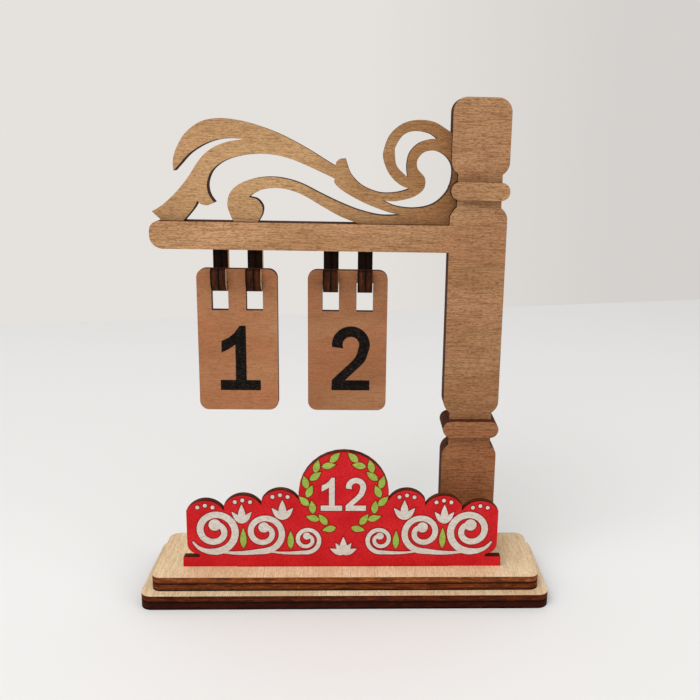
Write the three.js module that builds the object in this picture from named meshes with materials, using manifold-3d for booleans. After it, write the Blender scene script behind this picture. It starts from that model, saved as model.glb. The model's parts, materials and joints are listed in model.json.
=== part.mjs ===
import * as THREE from 'three';
import { mergeVertices } from 'three/addons/utils/BufferGeometryUtils.js';
import Module from 'manifold-3d';

const wasm = await Module();
wasm.setup();

// A perpetual desk calendar, all cut from thin sheet: a stepped plinth, a post with an arm and
// a scrolled brace, two date tiles hung on hooks under the arm, and a month sign that stands in
// a slot of the plinth. Millimetres, +Z up, front towards -Y, origin under the plinth's middle.

// Sheet and fits
const ply = 3; // thickness of the sheet that every piece is cut from
const glueFit = 0.1; // play round a glued tenon
const floorGap = 0.3; // room left under a tenon or tongue
const slotFit = 0.2; // play on each face of the month sign's tongue
const hangGap = 0.3; // play of a tile's bar in the bend of its hooks

// Plinth: wide plies, then plies set in all round
const widePlies = ['plinth_bottom_ply', 'plinth_top_ply'];
const stepPlies = ['step_bottom_ply', 'step_top_ply'];
const plinthWidth = 167;
const plinthDepth = 45.2;
const plinthCorner = 4.8;
const stepInset = 3.85;
const stepCorner = 3.9;

// Post, from the plinth up: foot, lower block, collar, shaft with the arm, collar, head
const postX = 51.05; // middle of the post
const postFrontY = 1.95; // front face of its front ply
const blockWidth = 23.1;
const footWidth = 19.7;
const lowerBlockHeight = 39.8; // this and the next heights are of the blocks' straight sides
const shaftHeight = 76;
const headHeight = 19;
const headCorner = 5.65;
const neckWidth = 17.8;
const shoulderRise = 4.9; // height over which a block rounds in to a neck
const neckHeight = 3;
const lowerNeckHeight = 4.2; // the neck on the lower block
const collarWidth = 23.4;
const collarHeight = 7.2;
const tenonWidth = 14;

// Arm
const armReach = 119; // from the post's left side to the arm's end
const armHeight = 11;
const armDrop = 2.4; // from the top of the shaft's straight side to the arm's top
const armTopCorner = 4;
const armBottomCorner = 5.2;

// Scrolled brace in the middle and back plies
const scrollInset = 0.7; // from the arm's end to the leaf's tip
const scrollHeight = 41;

// Hooks
const hookStock = 3.1;
const hookInner = 2.15; // inner radius of the bend
const hookDrop = 11.55; // from the arm's underside to the middle of the bend
const hookPlies = 2;
const hookSpacing = 13.8;
const tangHeight = 5;
const tipOver = 0.4; // how far the tip ends above the tile's top edge

// Date tiles
const tileWidth = 32.2;
const tileHeight = 59;
const tileCorner = 3.7;
const barHeight = 5.1; // what is left of the tile above its slots
const tileSlotWidth = 6.7;
const tileSlotHeight = 11.8;
const tilePitch = 44.4;
const firstTileInset = 34.15; // from the arm's end to the middle of the first tile

// Month sign
const signX = -1.73;
const signFrontY = -10.1;
const signWidth = 132.8;
const footBarHeight = 4.4;
const footBarCorner = 0.6;
const endNotchWidth = 6.8;
const endNotchHeight = 1.2;
const wingOverhang = 4.9;
const wingHeight = 20.7;
const scallopCount = 3;
const scallopRise = 4.5;
const scallopStep = 2.35;
const medallionRadius = 18.6;
const medallionHeight = 32.5; // middle of the medallion above the plinth
const tongueWidth = 88;

// Smoothness of curves, and how far a cut runs past a face
const cornerSteps = 6;
const bendSteps = 9;
const splineSteps = 6;
const cutOverrun = 1;

// Places that follow from the sizes
const quarterTurn = Math.PI / 2;
const halfTurn = Math.PI;
const stepFloorZ = widePlies.length * ply;
const deckZ = stepFloorZ + stepPlies.length * ply;
const coreY = postFrontY + ply;
const backY = coreY + ply;
const blockHalf = blockWidth / 2;
const neckHalf = neckWidth / 2;
const collarRadius = collarHeight / 2;
const lowerBlockFootZ = deckZ + shoulderRise;
const lowerBlockTopZ = lowerBlockFootZ + lowerBlockHeight;
const lowerCollarZ = lowerBlockTopZ + shoulderRise + lowerNeckHeight + collarRadius;
const shaftFootZ = lowerCollarZ + collarRadius + neckHeight + shoulderRise;
const shaftTopZ = shaftFootZ + shaftHeight;
const upperCollarZ = shaftTopZ + shoulderRise + neckHeight + collarRadius;
const headFootZ = upperCollarZ + collarRadius + neckHeight + shoulderRise;
const postTopZ = headFootZ + headHeight + headCorner;
const postLeftX = postX - blockHalf;
const armEndX = postLeftX - armReach;
const armTopZ = shaftTopZ - armDrop;
const armBottomZ = armTopZ - armHeight;
const scrollLength = armReach - scrollInset;
const hingeZ = armBottomZ - hookDrop;
const tileY = coreY + ply / 2 - hookStock / 2 - hookInner; // middle of a hanging tile's sheet
const tileSlotTopZ = hingeZ - Math.sqrt((hookInner - hangGap) ** 2 - (ply / 2) ** 2);
const tileTopZ = tileSlotTopZ + barHeight;
const tensTileX = armEndX + firstTileInset;
const onesTileX = tensTileX + tilePitch;
const hookPairs = { tens: tensTileX, ones: onesTileX };
const hookSides = { left: -hookSpacing / 2, right: hookSpacing / 2 };

// The brace's outline, as shares of its length along the arm and of its height above it.
// Each row is one smooth stretch, and stretches meet in points or notches.
const braceOuterShares = [
  [[0, 0.085], [0.036, 0.15], [0.081, 0.27], [0.122, 0.412], [0.153, 0.547], [0.181, 0.643],
    [0.218, 0.716], [0.262, 0.762], [0.312, 0.786]],
  [[0.312, 0.786], [0.248, 0.789], [0.191, 0.748], [0.134, 0.651], [0.096, 0.537], [0.077, 0.477]],
  [[0.077, 0.477], [0.076, 0.575], [0.09, 0.7], [0.12, 0.835], [0.168, 0.938], [0.22, 0.974],
    [0.274, 0.97], [0.334, 0.935], [0.42, 0.852], [0.51, 0.725], [0.588, 0.592], [0.613, 0.551]],
  [[0.613, 0.551], [0.617, 0.593], [0.629, 0.617], [0.647, 0.622]],
  [[0.647, 0.622], [0.653, 0.565], [0.668, 0.466], [0.706, 0.364], [0.763, 0.303], [0.82, 0.307],
    [0.863, 0.343]],
  [[0.863, 0.343], [0.826, 0.39], [0.793, 0.488], [0.774, 0.625], [0.776, 0.72], [0.795, 0.858],
    [0.836, 0.963], [0.887, 1], [0.94, 0.984], [0.984, 0.915], [1, 0.885]],
];
const braceFootShare = 0.031; // where the left leaf starts on the arm
const bigGapShares = [
  [[0.104, 0], [0.137, 0.115], [0.152, 0.192]],
  [[0.152, 0.192], [0.164, 0.163], [0.185, 0.152], [0.208, 0.18]],
  [[0.208, 0.18], [0.19, 0.26], [0.186, 0.365], [0.202, 0.482], [0.237, 0.568], [0.284, 0.62],
    [0.345, 0.648], [0.412, 0.643], [0.478, 0.595], [0.553, 0.505], [0.611, 0.429]],
  [[0.611, 0.429], [0.611, 0.386], [0.639, 0.313], [0.708, 0.205], [0.787, 0.12], [0.837, 0.088]],
  [[0.837, 0.088], [0.767, 0.082], [0.694, 0.128], [0.625, 0.203], [0.562, 0.287], [0.491, 0.384],
    [0.424, 0.43], [0.361, 0.427], [0.303, 0.378], [0.265, 0.293], [0.252, 0.19], [0.255, 0.11],
    [0.27, 0]],
];
const underGapShares = [
  [[0.353, 0], [0.366, 0.07], [0.368, 0.15], [0.35, 0.218], [0.324, 0.238]],
  [[0.324, 0.238], [0.34, 0.272], [0.379, 0.32], [0.437, 0.325], [0.499, 0.274], [0.566, 0.166],
    [0.62, 0.08], [0.654, 0.038], [0.69, 0]],
];
const crescentShares = [
  [[0.952, 0.828], [0.926, 0.876], [0.881, 0.897], [0.84, 0.859], [0.815, 0.756], [0.811, 0.69],
    [0.818, 0.565], [0.846, 0.48], [0.856, 0.455]],
  [[0.856, 0.455], [0.852, 0.567], [0.861, 0.69], [0.891, 0.783], [0.93, 0.821], [0.952, 0.828]],
];
const teardropShares = [
  [[0.772, 0.23], [0.818, 0.173], [0.886, 0.157], [0.95, 0.207], [0.995, 0.345], [1.007, 0.525],
    [0.991, 0.64], [0.954, 0.709], [0.913, 0.702], [0.888, 0.628], [0.889, 0.539], [0.914, 0.45],
    [0.91, 0.341], [0.872, 0.262], [0.812, 0.222], [0.772, 0.23]],
];

// Materials
const wood = { roughness: 0.72, metalness: 0 };
const postWood = () => new THREE.MeshStandardMaterial({ color: 0xa97a50, ...wood });
const plinthWood = () => new THREE.MeshStandardMaterial({ color: 0xd9b48e, ...wood });
const tileWood = () => new THREE.MeshStandardMaterial({ color: 0xa56f4b, ...wood });
const hookWood = () => new THREE.MeshStandardMaterial({ color: 0x5a3320, ...wood });
const redPaint = () => new THREE.MeshStandardMaterial({ color: 0xd0202e, roughness: 0.6, metalness: 0 });

const model = new THREE.Group();

function extrude(outline, depth) {
  return new THREE.ExtrudeGeometry(new THREE.Shape(outline), { depth, bevelEnabled: false });
}

function toSolid(geometry) {
  geometry.deleteAttribute('normal');
  geometry.deleteAttribute('uv');
  const merged = mergeVertices(geometry);
  const mesh = new wasm.Mesh({
    numProp: 3,
    vertProperties: merged.attributes.position.array,
    triVerts: merged.index.array,
  });
  return new wasm.Manifold(mesh);
}

// An outline extruded by a thickness, with windows cut through it.
function extrudeWithWindows(outline, windows, thickness) {
  let solid = toSolid(extrude(outline, thickness));
  for (const window of windows) {
    const cutter = extrude(window, thickness + 2 * cutOverrun).translate(0, 0, -cutOverrun);
    solid = solid.subtract(toSolid(cutter));
  }
  const { vertProperties, triVerts } = solid.getMesh();
  const geometry = new THREE.BufferGeometry();
  geometry.setAttribute('position', new THREE.BufferAttribute(vertProperties, 3));
  geometry.setIndex(new THREE.BufferAttribute(triVerts, 1));
  geometry.computeVertexNormals();
  return geometry;
}

// Adds one piece: a ply with an outline and windows, turned so that its own X, Y and thickness
// lie along three directions.
function addPly(name, outline, windows, directions, place, material) {
  const geometry = extrudeWithWindows(outline, windows, ply);
  geometry.applyMatrix4(new THREE.Matrix4().makeBasis(...directions));
  const mesh = new THREE.Mesh(geometry, material);
  mesh.name = name;
  mesh.position.copy(place);
  model.add(mesh);
}

const alongX = new THREE.Vector3(1, 0, 0);
const alongY = new THREE.Vector3(0, 1, 0);
const alongZ = new THREE.Vector3(0, 0, 1);
const towardsFront = new THREE.Vector3(0, -1, 0);
const uprightSheet = [alongX, alongZ, towardsFront];
const flatSheet = [alongX, alongY, alongZ];
const sideSheet = [alongY, alongZ, alongX];

// An upright ply whose front face lies at frontY.
function addUpright(name, outline, windows, frontY, material) {
  addPly(name, outline, windows, uprightSheet, new THREE.Vector3(0, frontY + ply, 0), material);
}

// The outline of a rectangle with round corners between two opposite corner points.
function roundedRectangle(left, bottom, right, top, radius) {
  const path = new THREE.Path();
  path.absarc(right - radius, bottom + radius, radius, -quarterTurn, 0);
  path.absarc(right - radius, top - radius, radius, 0, quarterTurn);
  path.absarc(left + radius, top - radius, radius, quarterTurn, halfTurn);
  path.absarc(left + radius, bottom + radius, radius, halfTurn, halfTurn + quarterTurn);
  return path.getPoints(cornerSteps);
}

function rectangle(left, bottom, right, top) {
  return [
    new THREE.Vector2(left, bottom),
    new THREE.Vector2(right, bottom),
    new THREE.Vector2(right, top),
    new THREE.Vector2(left, top),
  ];
}

// The plinth's four plies. The two upper ones are cut through for the sign and the post.
function addPlinth() {
  const width = plinthWidth / 2;
  const depth = plinthDepth / 2;
  const signSlot = rectangle(signX - tongueWidth / 2 - slotFit, signFrontY - slotFit,
    signX + tongueWidth / 2 + slotFit, signFrontY + ply + slotFit);
  const postMortise = rectangle(postX - tenonWidth / 2 - glueFit, coreY - glueFit,
    postX + tenonWidth / 2 + glueFit, coreY + ply + glueFit);
  for (const [level, name] of widePlies.entries()) {
    const outline = roundedRectangle(-width, -depth, width, depth, plinthCorner);
    const place = new THREE.Vector3(0, 0, level * ply);
    addPly(name, outline, [], flatSheet, place, plinthWood());
  }
  for (const [level, name] of stepPlies.entries()) {
    const outline = roundedRectangle(stepInset - width, stepInset - depth,
      width - stepInset, depth - stepInset, stepCorner);
    const place = new THREE.Vector3(0, 0, stepFloorZ + level * ply);
    addPly(name, outline, [signSlot, postMortise], flatSheet, place, plinthWood());
  }
}

// Draws an arc that leaves a block's straight side at a height and meets a narrower width at an
// angle, one shoulder's rise below that height or above it.
function drawShoulder(path, narrowHalf, straightZ, below) {
  const over = blockHalf - narrowHalf;
  const radius = (shoulderRise ** 2 + over ** 2) / (2 * over);
  const turn = Math.acos(1 - over / radius);
  const from = below ? -turn : 0;
  path.absarc(blockHalf - radius, straightZ, radius, from, from + turn);
}

// One side of the post from the plinth up to its top, as distances from its middle line.
// Blocks round in to narrow necks, and each neck carries a collar.
function postSide() {
  const side = new THREE.Path();
  const collarMiddle = collarWidth / 2 - collarRadius;
  const collarTurn = Math.acos((neckHalf - collarMiddle) / collarRadius);
  drawShoulder(side, footWidth / 2, lowerBlockFootZ, true);
  drawShoulder(side, neckHalf, lowerBlockTopZ, false);
  side.absarc(collarMiddle, lowerCollarZ, collarRadius, -collarTurn, collarTurn);
  drawShoulder(side, neckHalf, shaftFootZ, true);
  drawShoulder(side, neckHalf, shaftTopZ, false);
  side.absarc(collarMiddle, upperCollarZ, collarRadius, -collarTurn, collarTurn);
  drawShoulder(side, neckHalf, headFootZ, true);
  side.absarc(blockHalf - headCorner, postTopZ - headCorner, headCorner, 0, quarterTurn);
  return side.getPoints(cornerSteps);
}

function rightSideOfPost() {
  return postSide().map((point) => new THREE.Vector2(postX + point.x, point.y));
}

// The left side from the top down, and only the stretches above or below a height.
function leftSideOfPost(keep) {
  const side = postSide().map((point) => new THREE.Vector2(postX - point.x, point.y));
  return side.reverse().filter((point) => keep(point.y));
}

// The arm from its top, round its end, to its underside and back to the post.
function armEndPoints() {
  const end = new THREE.Path();
  end.absarc(armEndX + armTopCorner, armTopZ - armTopCorner, armTopCorner, quarterTurn, halfTurn);
  end.absarc(armEndX + armBottomCorner, armBottomZ + armBottomCorner, armBottomCorner,
    halfTurn, halfTurn + quarterTurn);
  return end.getPoints(cornerSteps);
}

// Square notches in the arm's underside for the hooks' tangs, from left to right.
function hookNotchPoints() {
  const half = hookPlies * ply / 2;
  const points = [];
  for (const tileX of Object.values(hookPairs)) {
    for (const side of Object.values(hookSides)) {
      points.push(new THREE.Vector2(tileX + side - half, armBottomZ));
      points.push(new THREE.Vector2(tileX + side - half, armBottomZ + tangHeight));
      points.push(new THREE.Vector2(tileX + side + half, armBottomZ + tangHeight));
      points.push(new THREE.Vector2(tileX + side + half, armBottomZ));
    }
  }
  return points;
}

function bracePoint([alongShare, upShare]) {
  return new THREE.Vector2(postLeftX - scrollLength * (1 - alongShare), armTopZ + scrollHeight * upShare);
}

// Smooth stretches through the given shares, joined end to end without doubled points.
function stretchPoints(stretches) {
  const points = [];
  for (const stretch of stretches) {
    const curve = new THREE.SplineCurve(stretch.map(bracePoint));
    points.push(...curve.getPoints((stretch.length - 1) * splineSteps).slice(points.length ? 1 : 0));
  }
  return points;
}

// The outline of the front ply: the post with its arm.
function plainFrameOutline() {
  return [
    ...rightSideOfPost(),
    ...leftSideOfPost((z) => z > armTopZ),
    new THREE.Vector2(postLeftX, armTopZ),
    ...armEndPoints(),
    new THREE.Vector2(postLeftX, armBottomZ),
    ...leftSideOfPost((z) => z < armBottomZ),
  ];
}

// The tenon under the post's foot, from left to right.
function tenonPoints() {
  return [
    new THREE.Vector2(postX - tenonWidth / 2, deckZ),
    new THREE.Vector2(postX - tenonWidth / 2, stepFloorZ + floorGap),
    new THREE.Vector2(postX + tenonWidth / 2, stepFloorZ + floorGap),
    new THREE.Vector2(postX + tenonWidth / 2, deckZ),
  ];
}

// The outline of a ply with the brace: post, arm and brace, with what else the ply has under the
// post's foot and along the arm's underside.
function bracedFrameOutline(footPoints, undersidePoints) {
  const braceOuter = stretchPoints(braceOuterShares).reverse();
  const braceTopZ = braceOuter[0].y;
  return [
    ...footPoints,
    ...rightSideOfPost(),
    ...leftSideOfPost((z) => z > braceTopZ),
    ...braceOuter,
    bracePoint([braceFootShare, 0]),
    ...armEndPoints(),
    ...undersidePoints,
    new THREE.Vector2(postLeftX, armBottomZ),
    ...leftSideOfPost((z) => z < armBottomZ),
  ];
}

// The gaps between the brace's strands. The first two stand on the arm and stay open there.
function braceWindows() {
  const gaps = [bigGapShares, underGapShares].map((shares) => stretchPoints(shares));
  const windows = [crescentShares, teardropShares].map((shares) => stretchPoints(shares).slice(1));
  return [...gaps, ...windows];
}

// The front ply is plain. The brace stands one ply behind it, and the tenon and the hooks' notches
// are in the middle ply.
function addFrame() {
  const coreOutline = bracedFrameOutline(tenonPoints(), hookNotchPoints());
  addUpright('frame_front_ply', plainFrameOutline(), [], postFrontY, postWood());
  addUpright('frame_core_ply', coreOutline, braceWindows(), coreY, postWood());
  addUpright('frame_back_ply', bracedFrameOutline([], []), braceWindows(), backY, postWood());
}

// Collars are short bars with round ends, laid on the post's front and back.
function addCollars() {
  const half = collarWidth / 2;
  const levels = { lower: lowerCollarZ, upper: upperCollarZ };
  const faces = { front: postFrontY - ply, back: backY + ply };
  for (const [level, z] of Object.entries(levels)) {
    for (const [face, y] of Object.entries(faces)) {
      const outline = roundedRectangle(postX - half, z - collarRadius,
        postX + half, z + collarRadius, collarRadius);
      addUpright(`${level}_collar_${face}`, outline, [], y, postWood());
    }
  }
}

// The side view of a hook: tang, shank, bend and upturned tip.
function hookOutline() {
  const outer = hookInner + hookStock;
  const shankFrontY = tileY + hookInner;
  const shankBackY = tileY + outer;
  const tipRadius = hookStock / 2;
  const tipY = tileY - hookInner - tipRadius;
  const path = new THREE.Path();
  path.moveTo(shankFrontY, armBottomZ);
  path.absarc(tileY, hingeZ, hookInner, 0, -halfTurn, true);
  path.absarc(tipY, tileTopZ + tipOver - tipRadius, tipRadius, 0, halfTurn);
  path.absarc(tileY, hingeZ, outer, -halfTurn, 0);
  path.lineTo(shankBackY, armBottomZ);
  path.lineTo(coreY + ply, armBottomZ);
  path.lineTo(coreY + ply, armBottomZ + tangHeight);
  path.lineTo(coreY, armBottomZ + tangHeight);
  path.lineTo(coreY, armBottomZ);
  return path.getPoints(bendSteps);
}

// Each hook is two plies side by side.
function addHooks() {
  for (const [pair, tileX] of Object.entries(hookPairs)) {
    for (const [side, offset] of Object.entries(hookSides)) {
      for (let layer = 0; layer < hookPlies; layer += 1) {
        const x = tileX + offset + (layer - hookPlies / 2) * ply;
        const name = `${pair}_${side}_hook_ply_${layer + 1}`;
        const place = new THREE.Vector3(x, 0, 0);
        addPly(name, hookOutline(), [], sideSheet, place, hookWood());
      }
    }
  }
}

// A tile hangs by the bar above its two slots.
function addTile(name, tileX) {
  const half = tileWidth / 2;
  const outline = roundedRectangle(tileX - half, tileTopZ - tileHeight,
    tileX + half, tileTopZ, tileCorner);
  const slots = Object.values(hookSides).map((offset) => {
    const left = tileX + offset - tileSlotWidth / 2;
    return rectangle(left, tileSlotTopZ - tileSlotHeight, left + tileSlotWidth, tileSlotTopZ);
  });
  addUpright(name, outline, slots, tileY - ply / 2, tileWood());
}

// Draws one scallop of the sign's crest, from one valley to the next.
function drawScallop(path, fromX, toX, valleyZ) {
  const half = Math.abs(toX - fromX) / 2;
  const radius = (half ** 2 + scallopRise ** 2) / (2 * scallopRise);
  const middleZ = valleyZ + scallopRise - radius;
  const open = Math.asin(half / radius);
  path.absarc((fromX + toX) / 2, middleZ, radius, quarterTurn - open, quarterTurn + open);
}

// The month sign: a foot bar with a tongue below it, and a board with a scalloped crest that
// climbs in steps to a round medallion in the middle.
function signOutline() {
  const footHalf = signWidth / 2;
  const neckHalfWidth = footHalf - endNotchWidth;
  const wingHalf = neckHalfWidth + wingOverhang;
  const barTopZ = deckZ + footBarHeight;
  const wingFootZ = barTopZ + endNotchHeight + wingOverhang;
  const crestZ = deckZ + footBarHeight + wingHeight;
  const innerCrestZ = crestZ + (scallopCount - 1) * scallopStep;
  const medallionZ = deckZ + medallionHeight;
  const meetTurn = Math.asin((innerCrestZ - medallionZ) / medallionRadius);
  const meetHalf = medallionRadius * Math.cos(meetTurn);
  const scallopWidth = (wingHalf - meetHalf) / scallopCount;
  const path = new THREE.Path();
  path.moveTo(signX - footHalf, deckZ);
  path.lineTo(signX - tongueWidth / 2, deckZ);
  path.lineTo(signX - tongueWidth / 2, stepFloorZ + floorGap);
  path.lineTo(signX + tongueWidth / 2, stepFloorZ + floorGap);
  path.lineTo(signX + tongueWidth / 2, deckZ);
  path.lineTo(signX + footHalf, deckZ);
  path.absarc(signX + footHalf - footBarCorner, barTopZ - footBarCorner, footBarCorner, 0, quarterTurn);
  path.lineTo(signX + neckHalfWidth, barTopZ);
  path.absarc(signX + neckHalfWidth, wingFootZ, wingOverhang, -quarterTurn, 0);
  for (let i = 0; i < scallopCount; i += 1) {
    const fromX = signX + wingHalf - i * scallopWidth;
    drawScallop(path, fromX, fromX - scallopWidth, crestZ + i * scallopStep);
  }
  path.absarc(signX, medallionZ, medallionRadius, meetTurn, halfTurn - meetTurn);
  for (let i = scallopCount - 1; i >= 0; i -= 1) {
    const toX = signX - wingHalf + i * scallopWidth;
    drawScallop(path, toX + scallopWidth, toX, crestZ + i * scallopStep);
  }
  path.absarc(signX - neckHalfWidth, wingFootZ, wingOverhang, halfTurn, halfTurn + quarterTurn);
  path.lineTo(signX - neckHalfWidth, barTopZ);
  path.absarc(signX - footHalf + footBarCorner, barTopZ - footBarCorner, footBarCorner,
    quarterTurn, halfTurn);
  return path.getPoints(bendSteps);
}

addPlinth();
addFrame();
addCollars();
addHooks();
addTile('tens_tile', tensTileX);
addTile('ones_tile', onesTileX);
addUpright('month_sign', signOutline(), [], signFrontY, redPaint());

export default model;
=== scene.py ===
# Looks of a perpetual desk calendar cut from thin plywood: wood grain on the faces, laser-browned
# veneers on the cut edges, printed numerals on the tiles and a printed month sign.
# Metres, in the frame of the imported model: +Z up, front towards -Y.
import json
import math
import bmesh
import bpy
from mathutils import Matrix, Vector


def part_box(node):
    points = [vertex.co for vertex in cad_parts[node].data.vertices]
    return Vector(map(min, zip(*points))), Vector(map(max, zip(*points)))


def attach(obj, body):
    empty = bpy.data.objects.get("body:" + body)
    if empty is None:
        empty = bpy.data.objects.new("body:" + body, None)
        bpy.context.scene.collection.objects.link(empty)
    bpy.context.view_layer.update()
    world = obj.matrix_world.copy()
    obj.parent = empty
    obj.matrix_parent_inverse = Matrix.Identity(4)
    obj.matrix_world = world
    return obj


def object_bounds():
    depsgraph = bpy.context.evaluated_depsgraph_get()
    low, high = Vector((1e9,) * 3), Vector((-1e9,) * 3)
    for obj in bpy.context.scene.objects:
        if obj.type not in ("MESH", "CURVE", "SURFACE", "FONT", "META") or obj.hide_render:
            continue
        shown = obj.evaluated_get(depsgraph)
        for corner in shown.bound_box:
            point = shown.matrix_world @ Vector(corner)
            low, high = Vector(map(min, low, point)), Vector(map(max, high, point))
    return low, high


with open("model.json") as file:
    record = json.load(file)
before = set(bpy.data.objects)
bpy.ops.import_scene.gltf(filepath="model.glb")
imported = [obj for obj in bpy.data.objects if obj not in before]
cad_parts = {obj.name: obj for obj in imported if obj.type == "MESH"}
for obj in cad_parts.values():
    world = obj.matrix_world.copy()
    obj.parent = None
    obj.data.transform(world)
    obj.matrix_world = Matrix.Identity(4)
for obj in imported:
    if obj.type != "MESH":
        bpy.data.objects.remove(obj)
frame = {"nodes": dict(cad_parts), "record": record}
cad_low, cad_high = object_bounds()

# Camera, from a fit to the photographed edges
CAMERA_PLACE = Vector((0.00472, -0.31005, 0.18639))
CAMERA_PITCH = math.radians(11.95)
CAMERA_YAW = math.radians(2.55)
CAMERA_ROLL = math.radians(1.20)
LENS_MM = 40.25
SENSOR_MM = 36
CAMERA_SHIFT = (-0.0653, -0.0589)
CAMERA_REACH = (0.01, 50)

# Light: a soft key from the upper left, a weaker one from the right, and an even room
KEY_PLACE = Vector((-0.45, -0.60, 0.95))
KEY_SIDE = 0.8
KEY_WATTS = 5.6
FILL_PLACE = Vector((0.75, -0.45, 0.45))
FILL_SIDE = 0.5
FILL_WATTS = 1.2
ROOM_STRENGTH = 0.68

# Backdrop, from its left colour to its right one, and the table top
BACKDROP_COLOURS = (229, 225, 221), (213, 209, 206)
BACKDROP_LIMITS = (0.0, 0.30)
FLOOR_COLOUR = (244, 243, 241)
FLOOR_SHADE_STEP = 3
FLOOR_ROUGHNESS = 0.7
FLOOR_SIZE = 6.0
FLOOR_BACK_Y = 0.548
FLOOR_TURN = math.radians(13.1)

# Places of a vector's parts
X, Y, Z = 0, 1, 2

# Gloss, and the depth of each bump
SPECULAR_LEVEL = 0.10
WOOD_BUMP = 0.00005
PRINT_BUMP = 0.00003
FLOOR_BUMP = 0.00002

# Printed film
FILM = 0.00010
OUTLINE_FILM = 0.00005
FILM_SINK = 0.00002
FILM_STEP = 0.000006

# Numerals on the tiles
NUMERAL_HEIGHT = 0.0272
NUMERAL_FOOT = {"tens_tile": 0.00845, "ones_tile": 0.0087}
NUMERAL_SHIFT = {"tens_tile": 0.0006, "ones_tile": 0.0016}

# The sign's print. Places are measured from the sign's middle line and from the plinth's top.
MEDALLION_RADIUS = 0.0186
SIGN_NUMBER_HEIGHT = 0.0146
SIGN_NUMBER_GAP = 0.0016
OUTLINE_MARGIN = 0.0004
SCROLLS = [
    {"radius": 0.0094, "out": 0.0530, "foot": 0.0068},
    {"radius": 0.0084, "out": 0.0329, "foot": 0.0070},
    {"radius": 0.0058, "out": 0.0152, "foot": 0.0064},
]
SCROLL_TURNS = 1.5
SCROLL_STEPS = 54
SCROLL_TIP_SHARE = 0.2
SCROLL_TAPER_SHARE = 0.25
SCROLL_STROKE_SHARE = 0.34
SCROLL_STEP_SHARE = 0.48
SCROLL_BALL_SHARE = 0.27
TAIL_SHARES = [(-0.98, -0.52), (-0.74, -0.80), (-0.38, -0.97)]
TAIL_DIP_SHARE = 0.09
LINKED_TAIL_STEPS = 10
OPEN_TAIL_STEPS = 5
FANS = [
    {"out": 0.0419, "foot": 0.0195, "length": 0.0085, "width": 0.0030, "angles": (90, 52, 128)},
    {"out": 0.0252, "foot": 0.0212, "length": 0.0088, "width": 0.0032, "angles": (90, 50, 130)},
]
FOOT_FAN = {"out": 0.0, "foot": 0.0054, "length": 0.0080, "width": 0.0030, "angles": (90, 58, 122, 26, 154)}
SIDE_PETAL_SHARE = 0.78
SPRIGS = [
    {"out": 0.0414, "foot": 0.0084, "length": 0.0092, "width": 0.0026},
    {"out": 0.0219, "foot": 0.0080, "length": 0.0082, "width": 0.0026},
]
BEAD_RADIUS = 0.0008
BEAD_ANGLES = (62, 90, 118)
BEAD_ARCS = [{"out": 0.0568, "centre": 0.0208}, {"out": 0.0415, "centre": 0.0232},
             {"out": 0.0261, "centre": 0.0255}]
BEAD_ARC_RADIUS = 0.0066
WREATH_RADIUS = 0.0152
WREATH_LEAVES = 11
WREATH_START = -78
WREATH_SWEEP = 146
WREATH_LEANS = (-24, 28)
LEAF_LENGTH = 0.0058
LEAF_WIDTH = 0.0028
LEAF_STEPS = 10
LEAF_SWELL = 0.8
DISC_CORNERS = 24
LEAST_MITRE = 0.5


def linear(colour):
    """A colour as it shows on a screen, 0 to 255, turned into the light values that shaders take."""
    shares = [part / 255 for part in colour]
    return tuple(s / 12.92 if s <= 0.04045 else ((s + 0.055) / 1.055) ** 2.4 for s in shares) + (1.0,)


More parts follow.
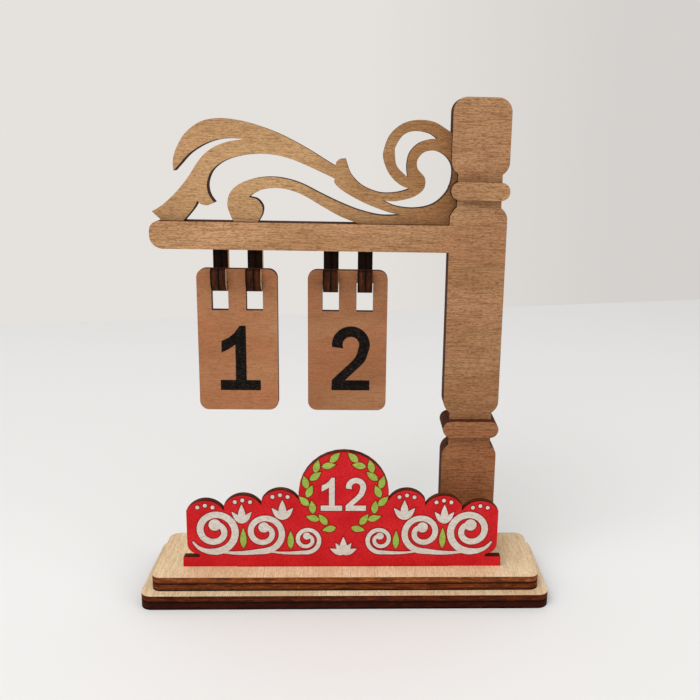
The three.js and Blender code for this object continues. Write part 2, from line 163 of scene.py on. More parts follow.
class Graph:
    """A material's nodes, with short ways to add and link them."""

    def __init__(self, name):
        self.material = bpy.data.materials.new(name)
        self.material.use_nodes = True
        self.tree = self.material.node_tree
        self.shader = self.tree.nodes["Principled BSDF"]

    def feed(self, socket, value):
        if isinstance(value, bpy.types.NodeSocket):
            self.tree.links.new(value, socket)
        else:
            socket.default_value = value

    def node(self, kind, inputs, **settings):
        node = self.tree.nodes.new(kind)
        for key, value in settings.items():
            setattr(node, key, value)
        for key, value in inputs.items():
            self.feed(node.inputs[key], value)
        return node

    def math(self, operation, a, b=0.0):
        return self.node("ShaderNodeMath", {0: a, 1: b}, operation=operation).outputs[0]

    def vector_math(self, operation, a, b, output="Vector"):
        return self.node("ShaderNodeVectorMath", {0: a, 1: b}, operation=operation).outputs[output]

    def range(self, value, low, high, to_low=0.0, to_high=1.0, smooth=False):
        kind = "SMOOTHSTEP" if smooth else "LINEAR"
        inputs = {"Value": value, "From Min": low, "From Max": high, "To Min": to_low, "To Max": to_high}
        return self.node("ShaderNodeMapRange", inputs, interpolation_type=kind).outputs["Result"]

    def mix(self, share, a, b, blend="MIX"):
        inputs = {"Factor": share, "A": a, "B": b}
        node = self.tree.nodes.new("ShaderNodeMix")
        node.data_type = "RGBA"
        node.blend_type = blend
        for key, value in inputs.items():
            sockets = [s for s in node.inputs if s.name == key and s.enabled]
            self.feed(sockets[0], value)
        return [s for s in node.outputs if s.enabled][0]

    def noise(self, place, axis, pattern, fine=1.0):
        """Noise with one scale along an axis and another across it."""
        along, across = pattern["scales"]
        scales = [across * fine] * 3
        scales[axis] = along * fine
        inputs = {"Vector": self.vector_math("MULTIPLY", place, scales), "Scale": 1.0,
                  "Detail": pattern["detail"], "Roughness": pattern["roughness"]}
        return self.node("ShaderNodeTexNoise", inputs).outputs["Fac"]

    def ramp(self, value, stops):
        node = self.node("ShaderNodeValToRGB", {"Fac": value})
        elements = node.color_ramp.elements
        while len(elements) < len(stops):
            elements.new(0.5)
        for element, (place, colour) in zip(elements, stops):
            element.position = place
            element.color = linear(colour)
        return node.outputs["Color"]

    def axis(self, vector, axis):
        return self.node("ShaderNodeSeparateXYZ", {0: vector}).outputs[axis]

    def place(self):
        return self.node("ShaderNodeTexCoord", {}).outputs["Object"]

    def normal(self):
        return self.node("ShaderNodeTexCoord", {}).outputs["Normal"]

    def finish(self, colour, roughness, height, bump_depth):
        bump = self.node("ShaderNodeBump", {"Height": height, "Strength": 1.0, "Distance": bump_depth})
        self.feed(self.shader.inputs["Base Color"], colour)
        self.feed(self.shader.inputs["Roughness"], roughness)
        self.feed(self.shader.inputs["Specular IOR Level"], SPECULAR_LEVEL)
        self.feed(self.shader.inputs["Normal"], bump.outputs["Normal"])
        return self.material


# Noise patterns. Scales are per metre, the first along the grain or through the ply and the second
# across it.
CLOUDS = {"scales": (22, 60), "detail": 3.0, "roughness": 0.5}
BLUSH = {"scales": (30, 80), "detail": 2.0, "roughness": 0.5}
HAIRLINES = {"scales": (130, 2400), "detail": 2.0, "roughness": 0.5}
FIBRES = {"scales": (620, 2500), "detail": 3.0, "roughness": 0.66}
PORES = {"scales": (260, 2700), "detail": 1.0, "roughness": 0.5}
STREAKS = {"scales": (1900, 140), "detail": 3.0, "roughness": 0.6}
GLINTS = {"scales": (1700, 420), "detail": 2.0, "roughness": 0.5}
SOOT = {"scales": (420, 200), "detail": 3.0, "roughness": 0.5}
THREADS = {"scales": (1100, 1500), "detail": 3.0, "roughness": 0.7}
PRINT_FIBRES = {"scales": (700, 1900), "detail": 2.0, "roughness": 0.6}
PRINT_CLOUDS = {"scales": (90, 90), "detail": 3.0, "roughness": 0.5}
FLOOR_CLOUDS = {"scales": (4, 4), "detail": 3.0, "roughness": 0.5}
FLOOR_GRAIN = {"scales": (900, 900), "detail": 2.0, "roughness": 0.5}
BLUSH_OFFSET = (0.37, 0.59, 0.83)
GLINT_OFFSET = (0.7, 0.3, 0.9)
SEED_FACTORS = (3, 7, 11)
SEED_STEPS = 97

# The two noise values between which each pattern goes from none to all, and how far it then covers
CLOUD_LIMITS = (0.34, 0.66)
BLUSH_LIMITS = (0.44, 0.70)
BLUSH_COVER = 0.55
HAIRLINE_LIMITS = (0.54, 0.34)
HAIRLINE_COVER = 0.6
FIBRE_LIMITS = (0.53, 0.32)
PORE_LIMITS = (0.58, 0.68)
GLINT_LIMITS = (0.54, 0.70)
GLINT_COVER = 0.55
STREAK_LIMITS = (0.56, 0.34)
STREAK_COVER = 0.70
SOOT_LIMITS = (0.50, 0.70)
SOOT_COVER = 0.45
WAVER_LIMITS = (0.2, 0.8)
WAVER_SHARE = 0.012
RED_CLOUD_LIMITS = (0.30, 0.70)
THREAD_LIMITS = (0.56, 0.36)
THREAD_COVER = 0.6
PRINT_CLOUD_LIMITS = (0.3, 0.7)
PRINT_LEAST_COVER = 0.5
PRINT_FIBRE_LIMITS = (0.32, 0.60)
INK_FIBRE_LIMITS = (0.48, 0.66)

# How much of a normal points through the ply where an edge turns into a face, and where a face turns
# into its scorched rim
FACING_LIMITS = (0.6, 0.8)
SCORCH_LIMITS = (0.98, 0.74)

# Roughness of a sanded face between two heights of its grain, of a cut edge and of prints
FACE_HEIGHT_LIMITS = (0.2, 0.8)
FACE_ROUGHNESS = (0.52, 0.64)
EDGE_ROUGHNESS = 0.82
RED_ROUGHNESS = 0.48
INK_ROUGHNESS = 0.6
PRINT_ROUGHNESS = 0.5
BORDER_ROUGHNESS = 0.55

# Face tones: two wood tones, a warmer blush, the fibres' tone, and how strongly fibres and pores
# show. Fineness scales the grain. A drift deepens the colour from one place along an axis to
# another, by up to the shares of red, green and blue light that it keeps. Where a drift darkens
# downwards, towards the post or towards a tile's top, it is painted shade.
# The post and arm darken to the right. Downwards they darken as painted shade, and the lower block darkens
# further as a warm painted shade.
FRONT_TONES = {"dark": (186, 140, 97), "light": (206, 160, 117), "blush": (202, 148, 109),
               "fibre": (102, 61, 33), "fibre_share": 0.72, "pore_share": 0.26, "fineness": 1.0,
               "tone_and_shade_drifts": [(X, -0.03, 0.055, (0.81, 0.78, 0.76)), (Z, 0.16, 0.015, (0.71, 0.66, 0.63)),
                          (Z, 0.080, 0.066, (0.94, 0.75, 0.67))]}
# The brace darkens towards the post, as painted shade beside the post.
BRACE_TONES = {"dark": (180, 138, 95), "light": (202, 161, 115), "blush": (196, 149, 109),
               "fibre": (112, 72, 40), "fibre_share": 0.64, "pore_share": 0.24, "fineness": 1.0,
               "tone_and_shade_drifts": [(X, -0.02, 0.04, (0.62, 0.51, 0.42))]}
# The tiles darken towards their tops, as painted shade under the arm.
TILE_TONES = {"dark": (162, 109, 73), "light": (177, 126, 88), "blush": (178, 115, 79),
              "fibre": (110, 62, 36), "fibre_share": 0.46, "pore_share": 0.16, "fineness": 1.2,
              "tone_and_shade_drifts": [(Z, 0.112, 0.132, (0.83, 0.80, 0.78))]}
PLINTH_TONES = {"dark": (229, 198, 157), "light": (247, 223, 186), "blush": (240, 211, 173),
                "fibre": (170, 128, 86), "fibre_share": 0.50, "pore_share": 0.20, "fineness": 0.75,
                "tone_and_shade_drifts": []}
HOOK_TONES = {"dark": (196, 156, 116), "light": (226, 190, 150), "blush": (216, 174, 134),
              "fibre": (120, 80, 50), "fibre_share": 0.50, "pore_share": 0.30, "fineness": 1.0,
              "tone_and_shade_drifts": []}

# Shares of light that a face keeps: the left tile lighter and the right tile darker
FACE_LEVELS = {"tens_tile": 1.05, "ones_tile": 0.91}

# Cut-edge tones from one face of a ply to the other: scorched rims, outer veneers, glue lines
# and the cross-grained veneer in the middle
EDGE_STOPS = [
    (0.00, (8, 2, 1)),
    (0.15, (16, 5, 3)),
    (0.21, (116, 58, 27)),
    (0.32, (108, 50, 22)),
    (0.38, (136, 70, 33)),
    (0.60, (142, 76, 36)),
    (0.68, (106, 48, 20)),
    (0.80, (136, 70, 33)),
    (0.94, (112, 52, 23)),
    (1.00, (58, 22, 10)),
]
GLINT_START_SHARES = (0.16, 0.26)
EDGE_DARKEST = (40, 14, 6)
EDGE_GLINT = (190, 118, 62)

# Shares of light that cut edges keep, by piece or by slot, and that a hook's shank keeps in the
# arm's shade, which starts at the tile's top
# The plinth's plies darken from the top one down to the bottom one, partly their own tone and partly
# painted shade towards the floor.
EDGE_LEVELS = {"step_top_ply": 1.22, "step_bottom_ply": 0.74, "plinth_top_ply": 0.43,
               "plinth_bottom_ply": 0.18, "month_sign": 0.46, "tens_tile": 0.35, "ones_tile": 0.35}
FRAME_EDGE_LEVEL = 0.42
HOOK_EDGE_LEVEL = 0.26
SHANK_LEVEL = 0.22
SHANK_SHADE_BELOW = 0.001
SHANK_SHADE_ABOVE = 0.0006

# How much redder the plinth's edges turn, and how the beam browned the rims of the faces
PLINTH_CHAR = 1.0
SCORCH_SHARE = 0.45
SCORCH_WIDTH = 0.00025
SCORCH_SAMPLES = 4


def wood_face(graph, place, seeded, grain, tones, level):
    """Colour and height of a sanded veneer face whose fibres run along one axis."""
    fine = tones["fineness"]
    offset = graph.vector_math("ADD", seeded, BLUSH_OFFSET)
    clouds = graph.noise(seeded, grain, CLOUDS)
    blush = graph.noise(offset, grain, BLUSH)
    hairlines = graph.noise(seeded, grain, HAIRLINES, fine)
    fibres = graph.noise(seeded, grain, FIBRES, fine)
    pores = graph.noise(seeded, grain, PORES, fine)
    light_share = graph.range(clouds, *CLOUD_LIMITS, smooth=True)
    colour = graph.mix(light_share, linear(tones["dark"]), linear(tones["light"]))
    blush_share = graph.range(blush, *BLUSH_LIMITS, 0.0, BLUSH_COVER, smooth=True)
    colour = graph.mix(blush_share, colour, linear(tones["blush"]))
    hairline_share = graph.range(hairlines, *HAIRLINE_LIMITS, 0.0, HAIRLINE_COVER * tones["fibre_share"])
    colour = graph.mix(hairline_share, colour, linear(tones["fibre"]))
    fibre_share = graph.range(fibres, *FIBRE_LIMITS, 0.0, tones["fibre_share"])
    colour = graph.mix(fibre_share, colour, linear(tones["fibre"]))
    pore_share = graph.range(pores, *PORE_LIMITS, 0.0, tones["pore_share"])
    colour = graph.mix(pore_share, colour, linear(tones["fibre"]))
    # Each drift darkens the colour along an axis; most of them are painted shade, as the tones above say.
    for axis, start, end, kept in tones["tone_and_shade_drifts"]:
        drift = graph.range(graph.axis(place, axis), start, end, smooth=True)
        colour = graph.mix(drift, colour, (*kept, 1.0), "MULTIPLY")
    colour = graph.mix(1.0, colour, (level, level, level, 1.0), "MULTIPLY")
    height = graph.math("SUBTRACT", fibres, pore_share)
    return colour, height


def wood_edge(graph, place, through, low, thickness, level, char, shade=None):
    """Colour and height of a laser-cut edge: veneers through the ply, with streaks along them. A
    low level darkens it, and turns it redder where it is charred. A shade darkens it further."""
    offset = graph.vector_math("ADD", place, GLINT_OFFSET)
    streaks = graph.noise(place, through, STREAKS)
    glints = graph.noise(offset, through, GLINTS)
    soot = graph.noise(place, through, SOOT)
    depth = graph.math("SUBTRACT", graph.axis(place, through), low)
    share = graph.math("DIVIDE", depth, thickness)
    waver = graph.range(soot, *WAVER_LIMITS, -WAVER_SHARE, WAVER_SHARE)
    colour = graph.ramp(graph.math("ADD", share, waver), EDGE_STOPS)
    glint_share = graph.math("MULTIPLY", graph.range(glints, *GLINT_LIMITS, 0.0, GLINT_COVER),
                             graph.range(share, *GLINT_START_SHARES))
    colour = graph.mix(glint_share, colour, linear(EDGE_GLINT))
    streak_share = graph.range(streaks, *STREAK_LIMITS, 0.0, STREAK_COVER)
    colour = graph.mix(streak_share, colour, linear(EDGE_DARKEST))
    soot_share = graph.range(soot, *SOOT_LIMITS, 0.0, SOOT_COVER)
    colour = graph.mix(soot_share, colour, linear(EDGE_DARKEST))
    kept = (level, level ** (1 + char / 2), level ** (1 + char), 1.0)
    colour = graph.mix(1.0, colour, kept, "MULTIPLY")
    if shade:
        colour = graph.mix(shade, colour, (SHANK_LEVEL, SHANK_LEVEL, SHANK_LEVEL, 1.0), "MULTIPLY")
    return colour, streaks


def shank_share(graph, place):
    """0 on a hook's tip and 1 above the tile, where the arm shades the shank."""
    tile_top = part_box("tens_tile")[1].z
    start, end = tile_top - SHANK_SHADE_BELOW, tile_top + SHANK_SHADE_ABOVE
    return graph.range(graph.axis(place, Z), start, end, smooth=True)


def face_share(graph, through):
    """1 on a ply's two faces and 0 on its cut edges."""
    facing = graph.math("ABSOLUTE", graph.axis(graph.normal(), through))
    return graph.range(facing, *FACING_LIMITS)


def scorch_share(graph, through):
    """Grows from 0 on a face to 1 at its rim, where the beam browned it."""
    bevel = graph.node("ShaderNodeBevel", {"Radius": SCORCH_WIDTH}, samples=SCORCH_SAMPLES)
    rounded = bevel.outputs["Normal"]
    turn = graph.node("ShaderNodeVectorTransform", {0: rounded}, vector_type="NORMAL",
                      convert_from="WORLD", convert_to="OBJECT")
    facing = graph.math("ABSOLUTE", graph.axis(turn.outputs[0], through))
    return graph.range(facing, *SCORCH_LIMITS, 0.0, SCORCH_SHARE, smooth=True)


def hash_share(text, factor):
    """A steady number from 0 to 1 for a name, so that each piece has its own grain."""
    total = sum((place + factor) * ord(letter) for place, letter in enumerate(text))
    return (total * factor % SEED_STEPS) / SEED_STEPS


def plywood(name, node, grain, through, tones, level, painted=None):
    """Plywood with its own grain for each piece; painted may colour the front face."""
    graph = Graph(name)
    low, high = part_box(node)
    seed = Vector([hash_share(node, factor) for factor in SEED_FACTORS])
    place = graph.place()
    seeded = graph.vector_math("ADD", place, seed)
    face, face_height = wood_face(graph, place, seeded, grain, tones, FACE_LEVELS.get(node, 1.0))
    face_rough = graph.range(face_height, *FACE_HEIGHT_LIMITS, *FACE_ROUGHNESS)
    if painted:
        face, face_height, face_rough = painted(graph, seeded, face, face_height, face_rough)
    thickness = high[through] - low[through]
    shade = shank_share(graph, place) if through == X else None
    char = PLINTH_CHAR if through == Z and level < 1 else 0
    edge, edge_height = wood_edge(graph, place, through, low[through], thickness, level, char, shade)
    face = graph.mix(scorch_share(graph, through), face, linear(EDGE_DARKEST))
    share = face_share(graph, through)
    colour = graph.mix(share, edge, face)
    roughness = graph.range(share, 0.0, 1.0, EDGE_ROUGHNESS, face_rough)
    height = graph.range(share, 0.0, 1.0, edge_height, face_height)
    return graph.finish(colour, roughness, height, WOOD_BUMP)


RED_TONES = {"dark": (194, 22, 28), "light": (216, 38, 42), "thread": (166, 12, 20)}
NUMERAL_INK = ((0, 0, 0), (50, 36, 28))
CREAM_PRINT = ((196, 184, 172), (222, 214, 204))
GREEN_PRINT = ((132, 160, 62), (164, 190, 84))
BORDER_PRINT = ((128, 22, 20), (150, 34, 30))


def red_front(graph, place, wood, wood_height, wood_rough):
    """Red print on the front face only; the back stays bare wood."""
    clouds = graph.noise(place, X, PRINT_CLOUDS)
    threads = graph.noise(place, X, THREADS)
    light_share = graph.range(clouds, *RED_CLOUD_LIMITS)
    red = graph.mix(light_share, linear(RED_TONES["dark"]), linear(RED_TONES["light"]))
    thread_share = graph.range(threads, *THREAD_LIMITS, 0.0, THREAD_COVER)
    red = graph.mix(thread_share, red, linear(RED_TONES["thread"]))
    bare, facing = FACING_LIMITS
    front = graph.range(graph.axis(graph.normal(), Y), -bare, -facing)
    colour = graph.mix(front, wood, red)
    height = graph.range(front, 0.0, 1.0, wood_height, threads)
    roughness = graph.range(front, 0.0, 1.0, wood_rough, RED_ROUGHNESS)
    return colour, height, roughness


def printed(name, tones, roughness, fibre_limits=PRINT_FIBRE_LIMITS):
    """A printed film with the wood's grain showing faintly through. The limits say which part of the
    grain comes out in the light tone."""
    graph = Graph(name)
    place = graph.place()
    clouds = graph.noise(place, X, PRINT_CLOUDS)
    fibres = graph.noise(place, X, PRINT_FIBRES)
    cover = graph.range(clouds, *PRINT_CLOUD_LIMITS, PRINT_LEAST_COVER, 1.0)
    share = graph.math("MULTIPLY", cover, graph.range(fibres, *fibre_limits))
    dark, light = tones
    colour = graph.mix(share, linear(dark), linear(light))
    return graph.finish(colour, roughness, fibres, PRINT_BUMP)


def set_material(obj, material):
    obj.data.materials.clear()
    obj.data.materials.append(material)


def dress_nodes():
    """Gives every piece of the frame its own plywood. A slot's kind is the axis of its grain, the axis
    through its ply, its tones and what is printed on its front."""
    kinds = {
        "plinth_wood": (Y, Z, PLINTH_TONES, None),
        "post_wood": (X, Y, FRONT_TONES, None),
        "hook_wood": (Z, X, HOOK_TONES, None),
        "tile_wood": (X, Y, TILE_TONES, None),
        "red_board": (X, Y, PLINTH_TONES, red_front),
    }
    levels = {"post_wood": FRAME_EDGE_LEVEL, "hook_wood": HOOK_EDGE_LEVEL}
    for subpart in frame["record"]["subparts"]:
        name, slot = subpart["node"], subpart["material_slot"]
        grain, through, tones, painted = kinds[slot]
        if name in ("frame_core_ply", "frame_back_ply"):
            tones = BRACE_TONES
        level = EDGE_LEVELS.get(name, levels.get(slot))
        material = plywood(f"{name}_plywood", name, grain, through, tones, level, painted)
        set_material(frame["nodes"][name], material)


# Outlines are lists of (x, z) points on an upright face.

def point(x, z):
    return Vector((x, z))


def heading(angle):
    """A step of length 1 at an angle in degrees."""
    return point(math.cos(math.radians(angle)), math.sin(math.radians(angle)))


def arc(centre, radius, start, end, steps):
    """Points on a circle between two angles in degrees."""
    angles = [start + (end - start) * i / steps for i in range(steps + 1)]
    return [centre + radius * heading(angle) for angle in angles]


def smooth(points, steps):
    """A smooth line through the points."""
    padded = [2 * points[0] - points[1], *points, 2 * points[-1] - points[-2]]
    line = []
    for before, a, b, after in zip(padded, padded[1:], padded[2:], padded[3:]):
        for i in range(steps):
            t = i / steps
            line.append(0.5 * (2 * a + (b - before) * t + (2 * before - 5 * a + 4 * b - after) * t ** 2
                               + (3 * a - before - 3 * b + after) * t ** 3))
    return [*line, points[-1]]


def ribbon(line, widths):
    """The outline of a stroke that changes its width along a line."""
    left, right = [], []
    for i, here in enumerate(line):
        along = (line[min(i + 1, len(line) - 1)] - line[max(i - 1, 0)]).normalized()
        side = point(-along.y, along.x) * widths[i] / 2
        left.append(here + side)
        right.append(here - side)
    return left + right[::-1]


# The numerals' outlines as shares of their height, from the foot's left corner
ONE_SHARES = [(0, 0), (0.60, 0), (0.60, 0.158), (0.39, 0.158), (0.39, 1.0), (0.298, 1.0), (0.215, 0.885),
              (0.13, 0.815), (0.027, 0.764), (0.022, 0.586), (0.13, 0.64), (0.23, 0.712), (0.23, 0.158),
              (0, 0.158)]
TWO_BOWL_CENTRE_SHARE = (0.289, 0.715)
TWO_BOWL_SHARE = 0.285
TWO_STROKE_SHARE = 0.160
TWO_OUTER_SHARES = [(0.495, 0.455), (0.35, 0.303), (0.203, 0.158)]
TWO_FOOT_SHARES = [(0.575, 0.158), (0.575, 0), (0, 0)]
TWO_INNER_SHARES = [(0.003, 0.158), (0.15, 0.305), (0.27, 0.42), (0.365, 0.535)]
TWO_OUTER_ANGLES = (187, -22)
TWO_INNER_ANGLES = (-12, 206)
TWO_OUTER_STEPS = 28
TWO_INNER_STEPS = 24
TWO_STROKE_STEPS = 6
NUMERAL_WIDTH_SHARE = 0.59


def scaled(shares, corner, height):
    return [corner + height * point(*share) for share in shares]


def numeral_one(corner, height):
    return scaled(ONE_SHARES, corner, height)


def numeral_two(corner, height):
    centre = corner + height * point(*TWO_BOWL_CENTRE_SHARE)
    outer = height * TWO_BOWL_SHARE
    inner = outer - height * TWO_STROKE_SHARE
    outer_bowl = arc(centre, outer, *TWO_OUTER_ANGLES, TWO_OUTER_STEPS)
    inner_bowl = arc(centre, inner, *TWO_INNER_ANGLES, TWO_INNER_STEPS)
    outer_points = [outer_bowl[-1], *scaled(TWO_OUTER_SHARES, corner, height)]
    inner_points = [*scaled(TWO_INNER_SHARES, corner, height), inner_bowl[0]]
    outer_stroke = smooth(outer_points, TWO_STROKE_STEPS)
    inner_stroke = smooth(inner_points, TWO_STROKE_STEPS)
    foot = scaled(TWO_FOOT_SHARES, corner, height)
    return [*outer_bowl, *outer_stroke[1:], *foot, *inner_stroke[:-1], *inner_bowl]


def disc(centre, radius):
    return arc(centre, radius, 0, 360 - 360 / DISC_CORNERS, DISC_CORNERS - 1)


def leaf(base, direction, length, width):
    """A pointed leaf from its base along a direction in degrees."""
    along = heading(direction)
    side = point(-along.y, along.x)
    shares = [i / LEAF_STEPS for i in range(LEAF_STEPS + 1)]
    half = [(t, math.sin(math.pi * t ** LEAF_SWELL) * width / 2) for t in shares]
    upper = [base + along * length * t + side * w for t, w in half]
    lower = [base + along * length * t - side * w for t, w in half[1:-1]]
    return upper + lower[::-1]


def grown(outline, margin):
    """The outline moved outwards by a margin, for a print's dark border."""
    area = sum(a.x * b.y - b.x * a.y for a, b in zip(outline, outline[1:] + outline[:1]))
    turn = 1 if area > 0 else -1
    result = []
    for before, here, after in zip(outline[-1:] + outline[:-1], outline, outline[1:] + outline[:1]):
        first = (here - before).normalized()
        second = (after - here).normalized()
        out_first = point(first.y, -first.x) * turn
        out_second = point(second.y, -second.x) * turn
        middle = out_first + out_second
        if middle.length < LEAST_MITRE:
            middle = out_first
        reach = margin / max(middle.normalized().dot(out_first), LEAST_MITRE)
        result.append(here + middle.normalized() * reach)
    return result


def film(name, outlines, front_y, thickness, body, material):
    """A thin printed film on an upright face. Each shape is a hair thicker than the one before, so
    that shapes which cross never share a surface."""
    mesh = bpy.data.meshes.new(name)
    build = bmesh.new()
    for layer, outline in enumerate(outlines):
        front = front_y - thickness - layer * FILM_STEP
        back = front_y + FILM_SINK
        front_ring = [build.verts.new((p.x, front, p.y)) for p in outline]
        back_ring = [build.verts.new((p.x, back, p.y)) for p in outline]
        build.faces.new(front_ring)
        build.faces.new(back_ring[::-1])
        for i in range(len(outline)):
            j = (i + 1) % len(outline)
            build.faces.new((front_ring[i], back_ring[i], back_ring[j], front_ring[j]))
    build.normal_update()
    bmesh.ops.triangulate(build, faces=[f for f in build.faces if len(f.verts) > 4])
    bmesh.ops.recalc_face_normals(build, faces=build.faces)
    build.to_mesh(mesh)
    build.free()
    piece = bpy.data.objects.new(name, mesh)
    bpy.context.scene.collection.objects.link(piece)
    set_material(piece, material)
    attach(piece, body)


def add_tile_numerals():
    ink = printed("numeral_ink", NUMERAL_INK, INK_ROUGHNESS, INK_FIBRE_LIMITS)
    for body, draw in {"tens_tile": numeral_one, "ones_tile": numeral_two}.items():
        low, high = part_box(body)
        middle = (low.x + high.x) / 2 + NUMERAL_SHIFT[body]
        corner = point(middle - NUMERAL_WIDTH_SHARE * NUMERAL_HEIGHT / 2, low.z + NUMERAL_FOOT[body])
        outline = draw(corner, NUMERAL_HEIGHT)
        film(f"{body}_numeral", [outline], low.y, FILM, body, ink)


def scroll_centre(scroll):
    return point(-scroll["out"], scroll["foot"] + scroll["radius"])


def scroll_shapes(scroll, previous):
    """One running scroll: a tail that swells into a spiral and ends in a ball. Its tail leaves the
    foot of the scroll before it, or starts in the open."""
    radius = scroll["radius"]
    centre = scroll_centre(scroll)
    sweep = 360 * SCROLL_TURNS
    spiral = []
    for i in range(SCROLL_STEPS + 1):
        angle = -90 + sweep * i / SCROLL_STEPS
        reach = radius * (1 - SCROLL_STEP_SHARE * SCROLL_TURNS * i / SCROLL_STEPS)
        spiral.append(centre + reach * heading(angle))
    if previous:
        start = scroll_centre(previous) - point(0, previous["radius"])
        dip = (start + spiral[0]) / 2 - point(0, TAIL_DIP_SHARE * radius)
        tail = smooth([start, dip, spiral[0]], LINKED_TAIL_STEPS)
    else:
        open_end = [centre + radius * point(*share) for share in TAIL_SHARES]
        tail = smooth([*open_end, spiral[0]], OPEN_TAIL_STEPS)
    line = [*tail[:-1], *spiral]
    count = len(line) - 1
    stroke = radius * SCROLL_STROKE_SHARE
    widths = []
    for i in range(count + 1):
        swell = SCROLL_TIP_SHARE + (1 - SCROLL_TIP_SHARE) * min(1, i / len(tail))
        widths.append(stroke * swell * (1 - SCROLL_TAPER_SHARE * i / count))
    return [ribbon(line, widths), disc(line[-1], radius * SCROLL_BALL_SHARE)]


def fan_shapes(fan):
    """Petals that spread from one foot, the first one full and the others shorter."""
    foot = point(-fan["out"], fan["foot"])
    shapes = []
    for i, angle in enumerate(fan["angles"]):
        size = SIDE_PETAL_SHARE if i else 1
        shapes.append(leaf(foot, angle, fan["length"] * size, fan["width"] * size))
    return shapes


def bead_shapes():
    shapes = []
    for row in BEAD_ARCS:
        centre = point(-row["out"], row["centre"])
        for angle in BEAD_ANGLES:
            shapes.append(disc(centre + BEAD_ARC_RADIUS * heading(angle), BEAD_RADIUS))
    return shapes


def sprig_shapes():
    return [leaf(point(-s["out"], s["foot"]), 90, s["length"], s["width"]) for s in SPRIGS]


def both_sides(shapes, origin):
    """Shapes of the left half set on the sign, and their mirror images."""
    placed = [[origin + p for p in shape] for shape in shapes]
    mirrored = [[origin + point(-p.x, p.y) for p in shape] for shape in shapes]
    return placed + mirrored


def wreath_leaves(centre):
    shapes = []
    for mirror in (1, -1):
        for i in range(WREATH_LEAVES):
            angle = WREATH_START + WREATH_SWEEP * i / (WREATH_LEAVES - 1)
            out = heading(angle)
            base = centre + WREATH_RADIUS * point(mirror * out.x, out.y)
            direction = angle + 90 + WREATH_LEANS[i % 2]
            if mirror < 0:
                direction = 180 - direction
            shapes.append(leaf(base, direction, LEAF_LENGTH, LEAF_WIDTH))
    return shapes


def add_sign_print():
    low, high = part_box("month_sign")
    middle_x = (low.x + high.x) / 2
    origin = point(middle_x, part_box("step_top_ply")[1].z)
    medallion = point(middle_x, high.z - MEDALLION_RADIUS)
    cream = printed("cream_print", CREAM_PRINT, PRINT_ROUGHNESS)
    green = printed("green_print", GREEN_PRINT, PRINT_ROUGHNESS)
    brown = printed("print_border", BORDER_PRINT, BORDER_ROUGHNESS)
    number_width = SIGN_NUMBER_HEIGHT * NUMERAL_WIDTH_SHARE
    foot = medallion - point(number_width + SIGN_NUMBER_GAP / 2, SIGN_NUMBER_HEIGHT / 2)
    number = [numeral_one(foot, SIGN_NUMBER_HEIGHT),
              numeral_two(foot + point(number_width + SIGN_NUMBER_GAP, 0), SIGN_NUMBER_HEIGHT)]
    scrolls = []
    for scroll, previous in zip(SCROLLS, [None, *SCROLLS]):
        scrolls += scroll_shapes(scroll, previous)
    fans = [shape for fan in FANS for shape in fan_shapes(fan)]
    foot_fan = [[origin + p for p in shape] for shape in fan_shapes(FOOT_FAN)]
    prints = {
        "sign_scrolls": (both_sides(scrolls, origin), cream),
        "sign_fans": (both_sides(fans, origin) + foot_fan, cream),
        "sign_beads": (both_sides(bead_shapes(), origin), cream),
        "sign_number": (number, cream),
        "sign_wreath": (wreath_leaves(medallion), green),
        "sign_sprigs": (both_sides(sprig_shapes(), origin), green),
    }
    for name, (shapes, material) in prints.items():
        film(name, shapes, low.y, FILM, "month_sign", material)
        borders = [grown(shape, OUTLINE_MARGIN) for shape in shapes]
        film(f"{name}_border", borders, low.y, OUTLINE_FILM, "month_sign", brown)


def add_camera():
    data = bpy.data.cameras.new("camera")
    data.lens = LENS_MM
    data.sensor_width = SENSOR_MM
    data.shift_x, data.shift_y = CAMERA_SHIFT
    data.clip_start, data.clip_end = CAMERA_REACH
    camera = bpy.data.objects.new("camera", data)
    turn = Matrix.Rotation(-CAMERA_YAW, 4, "Z") @ Matrix.Rotation(math.pi / 2 - CAMERA_PITCH, 4, "X")
    turn = turn @ Matrix.Rotation(CAMERA_ROLL, 4, "Z")
    camera.matrix_world = Matrix.Translation(CAMERA_PLACE) @ turn
    bpy.context.scene.collection.objects.link(camera)
    bpy.context.scene.camera = camera


def add_softbox(name, place, side, watts):
    data = bpy.data.lights.new(name, "AREA")
    data.size = side
    data.energy = watts
    lamp = bpy.data.objects.new(name, data)
    target = (cad_low + cad_high) / 2
    lamp.location = place
    lamp.rotation_euler = (target - place).to_track_quat("-Z", "Y").to_euler()
    bpy.context.scene.collection.objects.link(lamp)


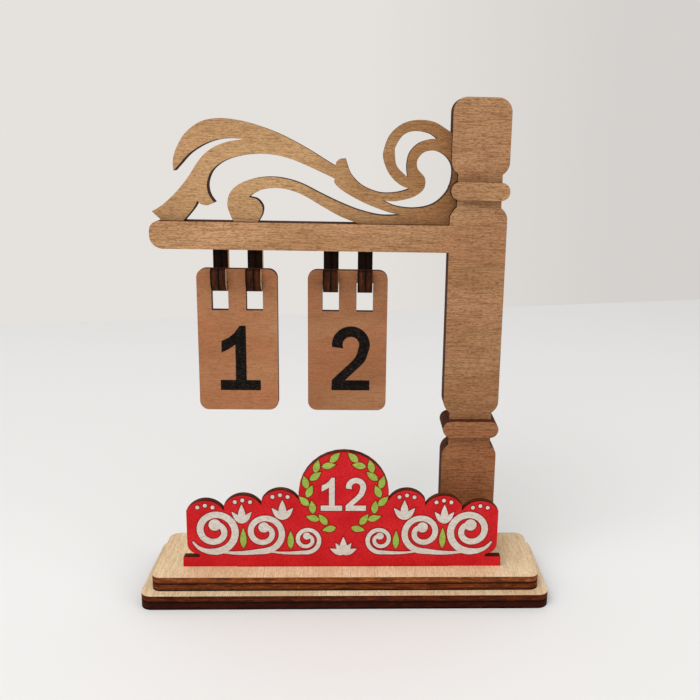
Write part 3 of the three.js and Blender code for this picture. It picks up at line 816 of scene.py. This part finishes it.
def add_room():
    """An even room light, and a pale backdrop where the camera or a reflection looks past the floor."""
    world = bpy.data.worlds.new("room")
    world.use_nodes = True
    nodes, links = world.node_tree.nodes, world.node_tree.links
    light = nodes["Background"]
    light.inputs["Color"].default_value = (1, 1, 1, 1)
    light.inputs["Strength"].default_value = ROOM_STRENGTH
    backdrop = nodes.new("ShaderNodeBackground")
    direction = nodes.new("ShaderNodeTexCoord")
    sides = nodes.new("ShaderNodeSeparateXYZ")
    spread = nodes.new("ShaderNodeMapRange")
    for limit, value in zip(("From Min", "From Max"), BACKDROP_LIMITS):
        spread.inputs[limit].default_value = value
    tones = nodes.new("ShaderNodeMix")
    tones.data_type = "RGBA"
    colours = [socket for socket in tones.inputs if socket.type == "RGBA"]
    for socket, colour in zip(colours, BACKDROP_COLOURS):
        socket.default_value = linear(colour)
    links.new(direction.outputs["Generated"], sides.inputs[0])
    links.new(sides.outputs[X], spread.inputs["Value"])
    links.new(spread.outputs["Result"], tones.inputs["Factor"])
    links.new([s for s in tones.outputs if s.type == "RGBA"][0], backdrop.inputs["Color"])
    path = nodes.new("ShaderNodeLightPath")
    seen = path.outputs["Is Camera Ray"]
    for ray in ("Is Glossy Ray", "Is Transmission Ray"):
        both = nodes.new("ShaderNodeMath")
        both.operation = "MAXIMUM"
        links.new(seen, both.inputs[0])
        links.new(path.outputs[ray], both.inputs[1])
        seen = both.outputs[0]
    choice = nodes.new("ShaderNodeMixShader")
    links.new(seen, choice.inputs[0])
    links.new(light.outputs[0], choice.inputs[1])
    links.new(backdrop.outputs[0], choice.inputs[2])
    links.new(choice.outputs[0], nodes["World Output"].inputs["Surface"])
    bpy.context.scene.world = world


def add_floor():
    """A plain pale table top whose far edge crosses the picture behind the calendar."""
    mesh = bpy.data.meshes.new("floor")
    half = FLOOR_SIZE / 2
    corners = [(-half, -FLOOR_SIZE, 0), (half, -FLOOR_SIZE, 0), (half, 0, 0), (-half, 0, 0)]
    mesh.from_pydata(corners, [], [(0, 1, 2, 3)])
    floor = bpy.data.objects.new("floor", mesh)
    floor.matrix_world = Matrix.Translation((0, FLOOR_BACK_Y, 0)) @ Matrix.Rotation(FLOOR_TURN, 4, "Z")
    bpy.context.scene.collection.objects.link(floor)
    graph = Graph("floor")
    place = graph.place()
    clouds = graph.noise(place, X, FLOOR_CLOUDS)
    grain = graph.noise(place, X, FLOOR_GRAIN)
    shaded = tuple(part - FLOOR_SHADE_STEP for part in FLOOR_COLOUR)
    colour = graph.mix(clouds, linear(FLOOR_COLOUR), linear(shaded))
    set_material(floor, graph.finish(colour, FLOOR_ROUGHNESS, grain, FLOOR_BUMP))


add_camera()
add_room()
add_softbox("key", KEY_PLACE, KEY_SIDE, KEY_WATTS)
add_softbox("fill", FILL_PLACE, FILL_SIDE, FILL_WATTS)
add_floor()
dress_nodes()
add_tile_numerals()
add_sign_print()

bpy.context.scene.view_settings.view_transform = "Standard"
